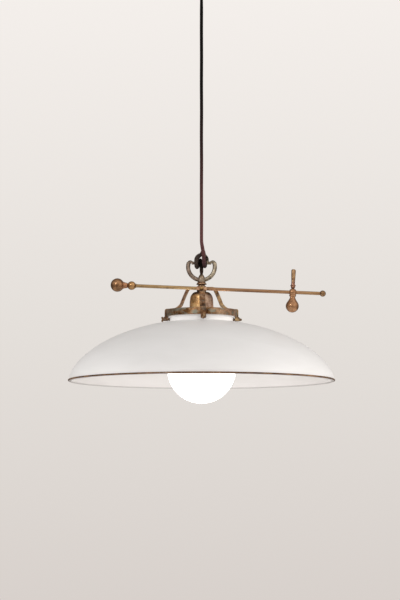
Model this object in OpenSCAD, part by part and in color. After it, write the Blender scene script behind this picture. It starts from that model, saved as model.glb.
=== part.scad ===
// Opal glass pendant with a four-arm brass gallery and a counterbalanced cross lever.
// Millimetres. The origin is the centre of the ceiling face, +Z is up, and the lamp hangs below.
// +X runs along the lever towards the sliding weight, and -Y faces the pivot screw.

/* [Ceiling set] */
// Width of the ceiling bracket
bracket_w = 18; // [16:1:24]
// Thickness of the ceiling bracket
bracket_t = 2; // [1.5:0.1:3]
// Depth of the bracket's lowered middle below the ceiling
bracket_drop = 10; // [9:0.5:12]
// Spacing of the two ceiling holes
ceiling_hole_gap = 60; // [50:1:66]
// Diameter of the ceiling holes
ceiling_hole_d = 5.2; // [4:0.1:6]
// Outer radius of the ceiling cup
cup_r = 51; // [50:0.5:60]
// Height of the ceiling cup
cup_h = 40; // [36:1:50]
// Wall of the ceiling cup
cup_wall = 1.2; // [1:0.1:2]
// Length of the turned cord grip below the cup
grip_h = 24; // [20:1:32]
// Radius of the cord grip at its shoulder
grip_r = 10; // [9.5:0.1:13]
// Length of the terminal block
block_l = 22; // [21:1:26]
// Height of the terminal block
block_h = 14; // [12:0.5:18]

/* [Cord] */
// Distance from the ceiling to the top of the ring's bow
cord_drop = 546; // [300:1:1500]
// Diameter of the textile cord
cord_d = 5.6; // [5:0.1:6]

/* [Ring and stem] */
// Radius of the bow's centre line
bow_r = 10.6; // [10:0.1:13]
// Thickness of the bow's wire
bow_t = 5.6; // [4:0.1:6]
// Radius of the crescent's centre line
ring_r = 24.6; // [24:0.1:28]
// Thickness of the round crescent
ring_w = 7.7; // [5:0.1:8]
// Radius of the boss at the foot of the ring
boss_r = 6.8; // [6.4:0.1:8]
// Height of that boss
boss_h = 6.6; // [5:0.1:9]
// Height of the cable inlet cone
inlet_h = 6.2; // [5:0.1:9]
// Radius of the collar's bead
bead_r = 9.5; // [9:0.1:12]
// Height of the collar, from the hub to the boss
collar_h = 8.4; // [7:0.1:12]
// Outer diameter of the threaded stem tube
stem_d = 10; // [9.4:0.1:10.4]
// Bore of the threaded stem tube
stem_bore = 7; // [6.6:0.1:7.4]

/* [Gallery] */
// Radius of the hub
hub_r = 8.5; // [8:0.1:10]
// Height of the hub
hub_h = 11; // [10.4:0.1:13]
// Width of an arm at the hub
arm_w = 10.4; // [8:0.1:11]
// Width of an arm at its foot
arm_foot_w = 9.4; // [8:0.1:10.2]
// Thickness of an arm along its slope
arm_t = 6.3; // [3:0.1:7]
// Thickness of an arm's tab on the band
tab_t = 2; // [1.6:0.1:2.4]
// Radius at which the arms turn down
arm_shoulder_r = 25.7; // [24:0.1:28]
// Drop from the underside of the hub to the top of the band
band_drop = 33.4; // [30:0.1:40]
// Clearance between the lip of the glass and the inside of the band
lip_clearance = 2.4; // [1.8:0.1:4]
// Height of the gallery band
band_h = 12.5; // [10:0.1:13]
// Wall of the gallery band
band_wall = 2; // [1.2:0.1:2.4]
// Diameter of the rivets
rivet_d = 3; // [2:0.1:4]
// Radius of the bell cup
bell_r = 21.9; // [21:0.1:24]
// Height of the bell cup
bell_h = 41; // [36:0.5:44]
// Wall of the bell cup
bell_wall = 1; // [0.8:0.1:1.4]

/* [Thumbscrews] */
// Thread diameter of the thumbscrews
screw_d = 4; // [3:0.1:4.6]
// Width across the two lobes of a thumbscrew
wing_w = 9.4; // [8:0.1:11]
// Height of a thumbscrew's lobes from its shoulder
wing_h = 4.4; // [4:0.1:7]
// Diameter of the pressure pad
pad_d = 5; // [4.8:0.1:6]

/* [Glass shade] */
// Radius of the dome's outer surface at the rim plane
dome_r = 242.2; // [220:0.1:260]
// Height of the dome above the rim plane
dome_h = 110; // [100:0.5:125]
// Exponent that makes the dome's side fuller or flatter
dome_power = 1.22; // [1.1:0.01:1.4]
// Thickness of the glass
glass_t = 4; // [3:0.1:5]
// Outer radius of the neck
neck_r = 57.7; // [56:0.1:58]
// Height of the neck above the dome
neck_h = 10.3; // [9:0.1:14]
// How far the lip at the top of the neck stands out
lip_w = 3.4; // [2:0.1:3.8]
// Height of the amber thread on the rim
thread_h = 3; // [2:0.1:5]

/* [Lampholder and bulb] */
// Outer radius of the lampholder
holder_r = 19.4; // [18:0.1:19.6]
// Height of the lampholder's skirt
skirt_h = 28; // [24:0.5:32]
// Wall of the lampholder's metal parts
holder_wall = 0.8; // [0.6:0.1:1.2]
// Radius of the bulb's globe
globe_r = 62.5; // [55:0.5:64]
// Wall of the bulb's globe
globe_wall = 1; // [0.8:0.1:1.6]
// Height of the bulb from the bottom of the globe to the contact
bulb_h = 176.5; // [172:0.5:178]
// Radius of the bulb's screw cap
cap_r = 13.2; // [12.8:0.1:13.4]
// Height of the bulb's screw cap
cap_h = 24; // [22:0.5:26]

/* [Balance lever] */
// Distance of the lever in front of the stem's axis
lever_y = 13; // [12.6:0.1:15]
// Height of the lever's pivot above the underside of the hub
pivot_h = 5.5; // [5.4:0.1:6.6]
// Slope of the lever at rest, right end down, in degrees
lever_tilt = 2.4; // [0:0.1:5]
// Diameter of the lever's rods
rod_d = 6.2; // [5:0.1:6.4]
// Length of the boss at the middle of the lever
eye_l = 19; // [18:0.5:26]
// Height of the boss at the middle of the lever
eye_h = 6; // [5.8:0.1:6.6]
// Length of the left rod from the pivot
left_rod_l = 119.4; // [105:0.2:140]
// Length of the right rod from the pivot
right_rod_l = 217; // [205:0.5:240]
// Diameter of the small fixed ball
small_ball_d = 15.8; // [12:0.2:17]
// Diameter of the large fixed ball
large_ball_d = 24.6; // [18:0.2:27]
// Length of the turned neck between the fixed balls
neck_l = 6.5; // [6:0.1:10]
// Diameter of the right end knob
end_knob_d = 11.4; // [8:0.2:13]
// Diameter of the pivot screw's shank
pivot_d = 4; // [3:0.1:4.2]

/* [Sliding weight] */
// Distance of the sliding weight from the pivot
slider_u = 167.3; // [160:0.1:180]
// Diameter of the sliding ball
slider_ball_d = 14.4; // [13:0.2:17]
// Height of the handle above the rod's axis
handle_top = 42.5; // [36:0.5:50]
// Diameter of the handle at its top
handle_d = 8.3; // [7:0.1:9]
// Diameter of the pear-shaped weight
pear_d = 23.8; // [18:0.2:26]
// Distance of the pear's lower end from the rod's axis
pear_bottom = 37.3; // [35:0.1:42]

/* [Hidden] */
$fn = 64;

// Clearances
thread_gap = 0.05; // radial, between a thread's two halves
run_gap = 0.08; // radial, where a shaft turns or slides
face_gap = 0.1; // between faces that are drawn together
seat_gap = 0.3; // between pieces that rest on each other
cord_gap = 0.9; // between two stretches of cord at a bend
arm_turn = 3; // the gallery's turn about the stem, in degrees
cut = 0.5; // how far a cutting tool runs past its face

// Levels of the ceiling set
bracket_l = 2 * (cup_r - 6);
cup_floor = -cup_h;
grip_foot = cup_floor - grip_h;
swing_z = grip_foot + 5;
cord_r = cord_d / 2;
grip_bore = cord_r + 0.15;
nipple_r = 5;
nipple_bore = 3.5;
nut_h = 3;
grip_thread = 9;
cup_lip = 1.4;
ear_h = 14;
side_screw_d = 3.6;
side_screw_z = -9;
plate_top = -bracket_drop;
plate_foot = plate_top - bracket_t;
nipple_top = plate_top + nut_h + 0.5;
bend_foot = swing_z - 16;

// The terminal block hangs against the bracket's tongue, and its wires come in from above
core_d = 1.8;
block_pitch = 7.2;
block_back = bracket_w / 2 + face_gap;
block_top = plate_foot - 1;
block_mid = block_top - block_h / 2;
terminal_y = block_back + 3.4;
terminal_screw_d = 3;

// Levels of the head, from the bow down
bow_top = -cord_drop;
bow_axis = bow_top - bow_t / 2;
bow_z = bow_axis - bow_r;
horn_z = bow_z - 6.3;
ring_z = horn_z - 5.9;
boss_top = ring_z - ring_r + 3.5;
boss_foot = boss_top - boss_h;
inlet_top = boss_top + inlet_h;
hub_top = boss_foot - collar_h;
hub_foot = hub_top - hub_h;
stem_r = stem_d / 2;
stem_top = boss_top + 1.5;
stem_foot = hub_foot - 11.5;
band_top = hub_foot - band_drop;
band_foot = band_top - band_h;
band_r = neck_r + lip_w + lip_clearance + band_wall;
tab_r = band_r + face_gap;
screw_z = band_foot - 4.5;
boss_out = tab_r + 3.9;
side_run = 7.4;
front_run = 0.9;
tab_foot = screw_z - 2.8;

// Levels of the glass: the underside of the lip hangs just over the pads
lip_foot = screw_z + pad_d / 2 + seat_gap;
lip_top = lip_foot + 3;
neck_angle = asin(neck_r / dome_r);
dome_rise = dome_h * pow(cos(neck_angle), dome_power);
rim_z = lip_top - neck_h - dome_rise;

// Levels of the lampholder and the bulb
holder_top = stem_foot + 4;
cap_foot = holder_top - 22;
skirt_foot = cap_foot - skirt_h;
contact_z = cap_foot + 2;
bulb_top = contact_z - 0.3;
bulb_z = bulb_top - bulb_h + globe_r;
bulb_cap_top = bulb_top - 3;
shell_r = cap_r + 0.3;
globe_seam = bulb_cap_top - cap_h + 1;
insert_foot = cap_foot - 3;
insert_top = cap_foot + 9;

// The lever's frame: its pivot, and its own axis along the rods
pivot_z = hub_foot + pivot_h;
eye_t = 5.6;
washer_t = lever_y - eye_t / 2 - hub_r - 2 * face_gap;
pivot_head_d = 6.4;
rod_thread = 5;
spigot_d = 3;
left_gap = 1.2;
small_flat = sqrt(pow(small_ball_d / 2, 2) - 9);
small_ball_u = left_rod_l + left_gap + 2 * face_gap + small_flat;
neck_u = small_ball_u + small_flat + face_gap;
large_ball_u = neck_u + neck_l + large_ball_d / 2;
spigot_r = 2;

// The cord's route round the bow: round numbers, from the bow's centre line down
knot_start = bow_axis + 26;
knot_drop = 34;
knot_route = [[1.7, -7.4, 9], [2, -8.4, 4.5], [2.6, -8.2, 0], [3.4, -7.4, -5], [4, -6.6, -11],
    [4.6, -5.8, -17], [5.6, -3.4, -21.6], [6.8, 0.2, -23], [7.6, 3.6, -20.6], [6.8, 5.8, -15],
    [4.4, 6.6, -9], [2.2, 6.4, -3], [1, 5.2, 2.8], [-0.2, 1.6, 5.8], [-1.8, -2.8, 4.9],
    [-4.2, -5.6, 0.4], [-6.8, -6.1, -5], [-9, -6.2, -11], [-10.4, -5.4, -17.4], [-10.6, -2.6, -22.6],
    [-9.4, 1.4, -24.2], [-7.4, 4.4, -22], [-5, 4.8, -18.6], [-2.8, 3.4, -17.2], [-1.3, 1.2, -19.6],
    [-0.8, 0.2, -24], [-0.3, 0, -29], [0, 0, -32], [0, 0, -knot_drop]];

// Points of a cubic from p to q that leaves along u and arrives along v
function curve(p, u, q, v, n) = [for (i = [0 : n - 1])
    let (s = i / n)
    (2 * pow(s, 3) - 3 * s * s + 1) * p + (pow(s, 3) - 2 * s * s + s) * u
    + (3 * s * s - 2 * pow(s, 3)) * q + (pow(s, 3) - s * s) * v];

// Points of an arc in the plane, from angle a to angle b
function arc(centre, r, a, b, n) = [for (i = [0 : n])
    centre + r * [cos(a + (b - a) * i / n), sin(a + (b - a) * i / n)]];

function unit(v) = v / norm(v);

// Direction of a path at point i
function heading(path, i) = unit(path[min(i + 1, len(path) - 1)] - path[max(i - 1, 0)]);

// An upright direction that is never parallel to a near-vertical path's own
function side_of(d) = unit(cross(d, abs(d[2]) > 0.8 ? [0, 1, 0] : [0, 0, 1]));

// A frame carried along the path without twisting
function frames(path, i = 0, last = undef) = i >= len(path) ? [] :
    let (d = heading(path, i))
    let (raw = is_undef(last) ? side_of(d) : last - (last * d) * d)
    let (s = unit(raw))
    concat([[s, cross(d, s)]], frames(path, i + 1, s));

// A round tube swept along a list of points
module swept_tube(path, d, sides) {
    f = frames(path);
    points = [for (i = [0 : len(path) - 1]) for (k = [0 : sides - 1])
        path[i] + d / 2 * (cos(360 * k / sides) * f[i][0] + sin(360 * k / sides) * f[i][1])];
    last = (len(path) - 1) * sides;
    walls = [for (i = [0 : len(path) - 2]) for (k = [0 : sides - 1])
        let (a = i * sides + k)
        let (b = i * sides + (k + 1) % sides)
        [a, a + sides, b + sides, b]];
    first_end = [for (k = [0 : sides - 1]) k];
    last_end = [for (k = [sides - 1 : -1 : 0]) last + k];
    polyhedron(points, concat(walls, [first_end, last_end]), convexity = 6);
}

// Points down a straight stretch, a ring every few diameters
function straight(x, y, top, foot, n) = [for (i = [0 : n]) [x, y, top + (foot - top) * i / n]];

module ring_tube(outer, inner, top, foot) {
    translate([0, 0, foot]) difference() {
        cylinder(r = outer, h = top - foot);
        translate([0, 0, -cut]) cylinder(r = inner, h = top - foot + 2 * cut);
    }
}

// Places its children on the lever's own axes: x along the rods, origin at the pivot
module on_lever() {
    translate([0, -lever_y, pivot_z]) rotate([0, lever_tilt, 0]) children();
}

// Places its children four times round the stem
module round_stem() {
    for (i = [0 : 3]) rotate(arm_turn + 90 * i) children();
}

/* Ceiling set */

// A strip with a lowered middle, an ear at each end for the cup and a tongue for the terminals
module ceiling_bracket() {
    leg_x = ceiling_hole_gap / 3;
    ear_w = bracket_w * 2 / 3;
    tongue_w = bracket_w;
    tongue_foot = block_mid - 4;
    t = bracket_t;
    w = bracket_w;
    color("silver") difference() {
        union() {
            for (s = [0, 1]) mirror([s, 0, 0]) {
                translate([leg_x - t, -w / 2, -t]) cube([bracket_l / 2 - leg_x + t, w, t]);
                translate([leg_x - t, -w / 2, plate_foot]) cube([t, w, -plate_foot]);
                translate([bracket_l / 2 - t, -ear_w / 2, -ear_h]) cube([t, ear_w, ear_h]);
            }
            translate([-leg_x, -w / 2, plate_foot]) cube([2 * leg_x, w, t]);
            translate([-tongue_w / 2, w / 2 - t, tongue_foot]) cube([tongue_w, t, plate_top - tongue_foot]);
        }
        translate([0, 0, plate_foot - cut]) cylinder(r = nipple_r + thread_gap, h = t + 2 * cut);
        for (s = [-1, 1]) translate([s * ceiling_hole_gap / 2, 0, -t - cut])
            cylinder(d = ceiling_hole_d, h = t + 2 * cut);
        for (s = [0, 180]) rotate(s) translate([bracket_l / 2 - t - cut, 0, side_screw_z]) rotate([0, 90, 0])
            cylinder(d = side_screw_d + 2 * thread_gap, h = t + 2 * cut);
    }
}

module ceiling_cup() {
    r = cup_r;
    h = cup_h;
    hole_r = nipple_r + 0.3;
    wall_foot = 25 - h;
    in_r = r - cup_wall;
    outer = concat([[hole_r, -h], [grip_r + 4, -h], [grip_r + 6, -h + 1.2]],
        curve([grip_r + 6, -h + 1.6], [12, 1], [r, wall_foot], [0, 26], 12),
        [[r, wall_foot]], arc([r - cup_lip, -1.9], cup_lip, 0, 90, 3));
    inner = concat([[in_r - cup_lip, -0.5], [in_r - cup_lip, -3], [in_r, -4.4]],
        curve([in_r, wall_foot + 0.2], [0, -26], [grip_r + 5.8, -h + 1.6 + cup_wall], [-12, -1], 12),
        [[grip_r + 4.4, -h + cup_wall], [hole_r, -h + cup_wall]]);
    color("peru") difference() {
        rotate_extrude($fn = 96) polygon(concat(outer, inner));
        for (s = [0, 180]) rotate(s) translate([r - 6, 0, side_screw_z]) rotate([0, 90, 0])
            cylinder(d = side_screw_d + 0.4, h = 10);
    }
}

module cup_side_screws() {
    tip = bracket_l / 2 - bracket_t - 3;
    head = cup_r + face_gap;
    color("goldenrod") for (s = [0, 180]) rotate(s) translate([0, 0, side_screw_z]) rotate([0, 90, 0]) {
        translate([0, 0, tip]) cylinder(d = side_screw_d, h = head - tip + 1);
        translate([0, 0, head]) difference() {
            rotate_extrude() polygon(concat([[0, 0], [4, 0], [4, 1.8]],
                arc([2.4, 1.8], 1.6, 0, 90, 4), [[0, 3.4]]));
            translate([-5, -0.5, 2.4]) cube([10, 1, 2]);
        }
    }
}

module grip_nipple() {
    color("silver") ring_tube(nipple_r, nipple_bore, nipple_top, cup_floor - grip_thread + 1);
}

module nipple_nuts() {
    feet = [plate_top + face_gap, plate_foot - face_gap - nut_h, cup_floor + cup_wall + face_gap];
    color("silver") for (z = feet)
        translate([0, 0, z]) difference() {
            cylinder(r = 8, h = nut_h, $fn = 6);
            translate([0, 0, -cut]) cylinder(r = nipple_r + thread_gap, h = nut_h + 2 * cut);
        }
}

module cord_grip() {
    top = cup_floor - face_gap;
    mouth = swing_z;
    profile = concat([[nipple_r + thread_gap, top], [grip_r, top], [grip_r, top - 2]],
        arc([grip_r - 1, top - 3.4], 1.4, 80, -80, 5),
        curve([grip_r - 1.4, top - 5.2], [-0.4, -6], [grip_bore + 4.2, top - 15], [-0.4, -4], 6),
        [[grip_bore + 4, top - 16]], arc([grip_bore + 3.6, grip_foot + 2.4], 1.5, 70, -90, 6),
        [[grip_bore + 2, grip_foot], [grip_bore + 1.2, grip_foot + 0.8], [grip_bore, mouth]],
        [[grip_bore, top - grip_thread], [nipple_r + thread_gap, top - grip_thread]]);
    color("peru") difference() {
        rotate_extrude() polygon(profile);
        translate([0, 0, top - 12]) rotate([90, 0, 0]) cylinder(r = 1.5 + thread_gap, h = 20);
    }
}

module grip_screw() {
    color("silver") translate([0, -cord_r - face_gap, cup_floor - face_gap - 12]) rotate([90, 0, 0])
        difference() {
            cylinder(r = 1.5, h = 5);
            translate([-0.3, -2, 4.2]) cube([0.6, 4, 2]);
        }
}

module terminal_block() {
    color("white") difference() {
        union() {
            translate([-block_l / 2, block_back, block_top - block_h]) cube([block_l, 7, block_h]);
            for (i = [-1 : 1]) translate([i * block_pitch, block_back, block_mid]) rotate([-90, 0, 0])
                cylinder(r = 3, h = 11);
        }
        for (i = [-1 : 1]) translate([i * block_pitch, terminal_y, block_top - block_h - cut])
            cylinder(r = 1.6, h = block_h + 2 * cut);
        for (i = [-1 : 1]) translate([i * block_pitch, terminal_y, block_mid]) rotate([-90, 0, 0])
            cylinder(r = terminal_screw_d / 2 + thread_gap, h = 10);
    }
}

module terminal_screws() {
    start = core_d / 2 + face_gap;
    color("silver") for (i = [-1 : 1]) translate([i * block_pitch, terminal_y + start, block_mid])
        rotate([-90, 0, 0]) difference() {
            cylinder(d = terminal_screw_d, h = 5.4);
            translate([-2, -0.25, 4.7]) cube([4, 0.5, 1]);
        }
}

module ceiling_cores() {
    start = nipple_top - 2;
    color("saddlebrown") for (i = [-1 : 1]) swept_tube(concat(
        curve([i * 1.9, 0.6, start], [0, 0, 28], [i * block_pitch, terminal_y, block_top + 1], [0, 0, -26], 12),
        [[i * block_pitch, terminal_y, block_top + 1], [i * block_pitch, terminal_y, block_mid - 2.5]]),
        core_d, 8);
}

/* Cord */

module cord_in_grip() {
    path = straight(0, 0, nipple_top - 2 - face_gap, swing_z + cord_gap / 2, 8);
    color([0.1, 0.08, 0.07]) swept_tube(path, cord_d, 12);
}

module cord_bend() {
    color([0.1, 0.08, 0.07])
        swept_tube(straight(0, 0, swing_z - cord_gap / 2, bend_foot + cord_gap / 2, 2), cord_d, 12);
}

module cord_hanging() {
    color([0.3, 0.2, 0.18])
        swept_tube(straight(0, 0, bend_foot - cord_gap / 2, knot_start + cord_gap, 30), cord_d, 12);
}

module cord_knot() {
    lead = curve([0, 0, knot_start - bow_axis], [0, 0, -12], knot_route[0], [0.8, -5, -10], 5);
    color([0.4, 0.25, 0.22]) translate([0, 0, bow_axis])
        swept_tube(concat(lead, [for (i = [1 : len(knot_route) - 1]) knot_route[i]]), cord_d - 0.4, 8);
}

module cord_tail() {
    color([0.3, 0.2, 0.18])
        swept_tube(straight(0, 0, bow_axis - knot_drop - face_gap, stem_foot + 1, 5), cord_d, 12);
}

/* Ring and stem */

module suspension_ring() {
    horn_r = 3.2;
    horn_t = 5.6;
    horn_x = sqrt(ring_r * ring_r - pow(ring_z - horn_z, 2)) - horn_r;
    rise = asin((horn_z - ring_z) / ring_r);
    color("darkkhaki") difference() {
        union() {
            translate([0, 0, bow_z]) rotate([90, 0, 0]) rotate_extrude(angle = 180)
                translate([bow_r, 0]) circle(d = bow_t);
            for (s = [0, 1]) mirror([s, 0, 0]) {
                translate([bow_r, 0, horn_z + 1]) cylinder(d = bow_t, h = bow_z - horn_z - 1);
                translate([bow_r, 0, horn_z + 1]) sphere(d = bow_t);
                translate([bow_r, 0, horn_z + 1]) rotate([0, 90, 0])
                    cylinder(d = horn_t, h = horn_x - horn_r - bow_r + 0.6);
                translate([horn_x, 0, horn_z]) rotate([90, 0, 0]) rotate_extrude(angle = 165)
                    translate([horn_r, 0]) circle(d = horn_t);
                translate([horn_x + horn_r, 0, horn_z]) sphere(d = ring_w);
            }
            translate([0, 0, ring_z]) rotate([90, 0, 0]) rotate([0, 0, 180 - rise])
                rotate_extrude(angle = 180 + 2 * rise, $fn = 96) translate([ring_r, 0]) circle(d = ring_w);
            translate([0, 0, boss_foot]) rotate_extrude() polygon(concat([[0, 0], [boss_r + 0.2, 0]],
                curve([boss_r + 0.2, 0.2], [0, 2], [boss_r - 0.3, boss_h], [0, 2], 4),
                [[boss_r - 0.3, boss_h], [0, boss_h]]));
        }
        translate([0, 0, boss_foot - 1]) cylinder(r = stem_r + thread_gap, h = boss_h + 20);
        translate([0, 0, boss_top]) cylinder(r = boss_r + face_gap, h = inlet_h);
    }
}

module cable_inlet() {
    wall = 0.6;
    color("darkkhaki") difference() {
        translate([0, 0, boss_top + face_gap]) rotate_extrude() polygon(concat([[0, 0]],
            curve([boss_r - 0.4, 0], [0, 3], [cord_r + wall + 0.1, inlet_h - face_gap], [-1.2, 3], 7),
            [[cord_r + wall + 0.1, inlet_h - face_gap], [0, inlet_h - face_gap]]));
        translate([0, 0, boss_top - cut]) cylinder(r = stem_r + thread_gap, h = 1.6 + cut);
        translate([0, 0, boss_top]) cylinder(r = cord_r + 0.1, h = inlet_h + cut);
    }
}

module ring_collar() {
    h = collar_h - 2 * face_gap;
    profile = concat([[stem_r + thread_gap, 0], [boss_r - 0.2, 0], [boss_r - 0.4, 1.2]],
        curve([boss_r - 1, 2], [0, 0.6], [bead_r - 1.4, 2.8], [1.6, 0.2], 3),
        arc([bead_r - 1.2, 4], 1.2, -90, 90, 6), [[bead_r - 1.7, h - 3]],
        arc([bead_r - 2.6, h - 2], 1.1, -50, 60, 4), curve([bead_r - 2.4, h - 0.9], [-0.6, 0.2],
        [boss_r - 0.2, h], [-0.6, 0.8], 3),
        [[boss_r - 0.2, h], [stem_r + thread_gap, h]]);
    color("darkkhaki") translate([0, 0, hub_top + face_gap]) rotate_extrude() polygon(profile);
}

module stem_tube() {
    color("silver") ring_tube(stem_r, stem_bore / 2, stem_top, stem_foot);
}

/* Gallery */

// An arm's centre line in its own upright plane: radius, height
function arm_line(run_z) =
    let (turn = [arm_shoulder_r - 6.1, run_z])
    let (shoulder = [arm_shoulder_r, run_z - 3.8])
    let (waist = [arm_shoulder_r + 10.9, band_top + 11])
    let (flare = [tab_r - 15.9, band_top + 2.4])
    let (bend = [tab_r + tab_t / 2 - 2.4, band_top - 1.25])
    let (edge = bend + [0, 2.4])
    let (slope = norm(waist - shoulder))
    concat([[hub_r - 1.5, run_z]], curve(turn, [7, 0], shoulder, [3, -6], 7),
        curve(shoulder, slope * [0.44, -0.9], waist, slope * [0.34, -0.94], 6),
        curve(waist, [3.4, -9.4], flare, [14, -1.2], 8), curve(flare, [8, -0.7], edge, [8, 0], 3),
        arc(bend, 2.4, 90, 0, 6), [[bend[0] + 2.4, screw_z - 1]]);

// Thickness at each point of that line: run, slope, flare and tab
function arm_thickness(i, n, run_t) = lookup(i / n, [[0, run_t], [0.06, run_t], [0.24, arm_t],
    [0.5, arm_t - 0.2], [0.66, tab_t + 0.6], [0.74, tab_t], [1, tab_t]]);

function arm_side(line, run_t, s) = [for (i = [0 : len(line) - 1])
    let (d = heading(line, i))
    line[i] + s * arm_thickness(i, len(line) - 1, run_t) / 2 * [-d[1], d[0]]];

module arm(run_z, run_t) {
    line = arm_line(run_z);
    under = arm_side(line, run_t, -1);
    over = arm_side(line, run_t, 1);
    boss_in = tab_r - 3.9;
    half = arm_foot_w / 2;
    round_r = 1.2;
    difference() {
        union() {
            intersection() {
                rotate([90, 0, 0]) linear_extrude(arm_w + 2, center = true)
                    polygon(concat(over, [for (i = [len(under) - 1 : -1 : 0]) under[i]]));
                translate([0, 0, tab_foot - 10]) linear_extrude(hub_top - tab_foot + 20)
                    polygon([[0, -arm_w / 2], [arm_shoulder_r, -arm_w / 2], [tab_r + 20, -arm_foot_w / 2],
                        [tab_r + 20, arm_foot_w / 2], [arm_shoulder_r, arm_w / 2], [0, arm_w / 2]]);
            }
            translate([boss_in, 0, 0]) rotate([90, 0, 90]) linear_extrude(boss_out - boss_in)
                polygon(concat([[-half, band_foot - face_gap]],
                    arc([round_r - half, tab_foot + round_r], round_r, 180, 270, 4),
                    arc([half - round_r, tab_foot + round_r], round_r, 270, 360, 4),
                    [[half, band_foot - face_gap]]));
        }
        translate([boss_in - 2, 0, screw_z]) rotate([0, 90, 0]) cylinder(r = screw_d / 2 + run_gap, h = 14);
        translate([tab_r - 2, 0, band_foot + band_h / 2]) rotate([0, 90, 0])
            cylinder(r = rivet_d / 2 + face_gap, h = 12);
    }
}

module arm_spider() {
    color("peru") difference() {
        union() {
            translate([0, 0, hub_foot]) cylinder(r = hub_r, h = hub_h);
            for (i = [0, 2]) rotate(arm_turn + 90 * i) arm(hub_foot + side_run, 4.2);
            for (i = [1, 3]) rotate(arm_turn + 90 * i) arm(hub_foot + front_run, 1.6);
        }
        translate([0, 0, hub_foot - cut]) cylinder(r = stem_r + thread_gap, h = hub_h + 2 * cut);
        translate([0, 0, pivot_z]) rotate([90, 0, 0]) cylinder(r = pivot_d / 2 + thread_gap, h = hub_r + 5);
    }
}

module gallery_band() {
    inner = band_r - band_wall;
    color("peru") difference() {
        rotate_extrude($fn = 128) polygon([[inner + 0.4, band_foot], [band_r - 0.4, band_foot],
            [band_r, band_foot + 0.4], [band_r, band_top - 0.8], [band_r - 0.8, band_top],
            [inner - 0.6, band_top], [inner - 1, band_top - 0.6], [inner, band_top - 1.6],
            [inner, band_foot + 0.4]]);
        round_stem() translate([inner - 3, 0, band_foot + band_h / 2]) rotate([0, 90, 0])
            cylinder(r = rivet_d / 2 + face_gap, h = band_wall + 6);
    }
}

module band_rivets() {
    head_r = rivet_d / 2 + 0.9;
    inner = band_r - band_wall - face_gap;
    color("goldenrod") round_stem() translate([inner, 0, band_foot + band_h / 2]) rotate([0, 90, 0]) {
        cylinder(r = rivet_d / 2, h = band_wall + tab_t + 2 * face_gap);
        mirror([0, 0, 1]) rotate_extrude() polygon(concat([[0, 0], [head_r, 0]],
            arc([head_r - 0.9, 0.1], 0.9, 0, 90, 4), [[0, 1]]));
    }
}

module bell_cup() {
    top = hub_foot - face_gap;
    foot = top - bell_h;
    flat = 12.6;
    side = bell_r - 1.1;
    in_side = side - bell_wall;
    outer = concat([[stem_r + thread_gap, top], [flat, top]],
        curve([flat, top], [10, -0.2], [side, top - 10.6], [1, -12], 12),
        [[side, top - 10.6], [bell_r - 0.3, top - 17], [bell_r, top - 25], [bell_r, foot + 1.4]],
        arc([bell_r, foot + 0.8], 0.8, 60, -90, 4));
    inner = concat([[bell_r - bell_wall, foot], [bell_r - bell_wall, top - 25]],
        [[bell_r - bell_wall - 0.3, top - 17], [in_side, top - 10.8]],
        curve([in_side, top - 10.8], [-1, 11.4], [flat - 0.4, top - bell_wall], [-9, 0.2], 12),
        [[flat - 0.4, top - bell_wall], [stem_r + thread_gap, top - bell_wall]]);
    color("goldenrod") rotate_extrude($fn = 96) polygon(concat(outer, inner));
}

module bell_nut() {
    h = 3.4;
    color("silver") translate([0, 0, hub_foot - bell_wall - 2 * face_gap - h]) difference() {
        cylinder(r = 8.5, h = h, $fn = 6);
        translate([0, 0, -cut]) cylinder(r = stem_r + thread_gap, h = h + 2 * cut);
    }
}

/* Lampholder */

module holder_cap() {
    r = holder_r;
    w = holder_wall;
    outer = concat([[stem_r + thread_gap, holder_top], [stem_r + 3, holder_top],
        [stem_r + 3, holder_top - 5]], curve([stem_r + 3.4, holder_top - 5.4], [8, -0.2],
        [r, holder_top - 14], [0.2, -8], 7), [[r, holder_top - 14], [r, cap_foot + face_gap]]);
    inner = concat([[r - w, cap_foot + face_gap], [r - w, holder_top - 14]],
        curve([r - w, holder_top - 14.2], [-0.2, 8], [stem_r + 3.2, holder_top - 5.4 - w], [-8, 0.2], 7),
        [[stem_r + 3, holder_top - 5.4 - w], [stem_r + thread_gap, holder_top - 5.4 - w]]);
    color("goldenrod") rotate_extrude() polygon(concat(outer, inner));
}

module holder_skirt() {
    r = holder_r;
    w = holder_wall;
    color("goldenrod") rotate_extrude() polygon(concat([[r - 2 * w - 0.2, cap_foot + 5],
        [r - w - 0.2, cap_foot + 5], [r - w - 0.2, cap_foot], [r + 0.2, cap_foot],
        [r + 0.2, skirt_foot + 2]], arc([r - 0.2, skirt_foot + 0.9], 0.9, 30, -90, 4),
        [[r - w - 0.6, skirt_foot], [r - w - 0.2, skirt_foot + 2], [r - w - 0.2, cap_foot - 1],
        [r - 2 * w - 0.2, cap_foot - 0.6]]));
}

module holder_insert() {
    r = holder_r - 2 * holder_wall - 0.4;
    color("white") difference() {
        union() {
            translate([0, 0, insert_foot]) cylinder(r = r, h = 3.4);
            translate([0, 0, insert_foot]) cylinder(r = r - 1.6, h = insert_top - insert_foot);
        }
        translate([0, 0, insert_foot - cut])
            cylinder(r = shell_r + 0.9, h = contact_z + 1.4 - insert_foot + cut);
        for (s = [-1, 1]) translate([s * 8.5, 0, contact_z]) cylinder(r = 1.9, h = 20);
        translate([0, 7.6, contact_z]) cylinder(r = 1.9, h = 20);
        translate([0, 0, contact_z]) cylinder(r = 1.2 + face_gap, h = 20);
    }
}

module holder_shell() {
    top = contact_z + 1.2;
    wall = 0.5;
    color("gold") difference() {
        ring_tube(shell_r + wall, shell_r, top, globe_seam + seat_gap + 0.3);
        for (s = [0, 180]) rotate(s) translate([shell_r - 2, -2.5, skirt_foot + 8]) cube([4, 5, 6]);
    }
}

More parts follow.
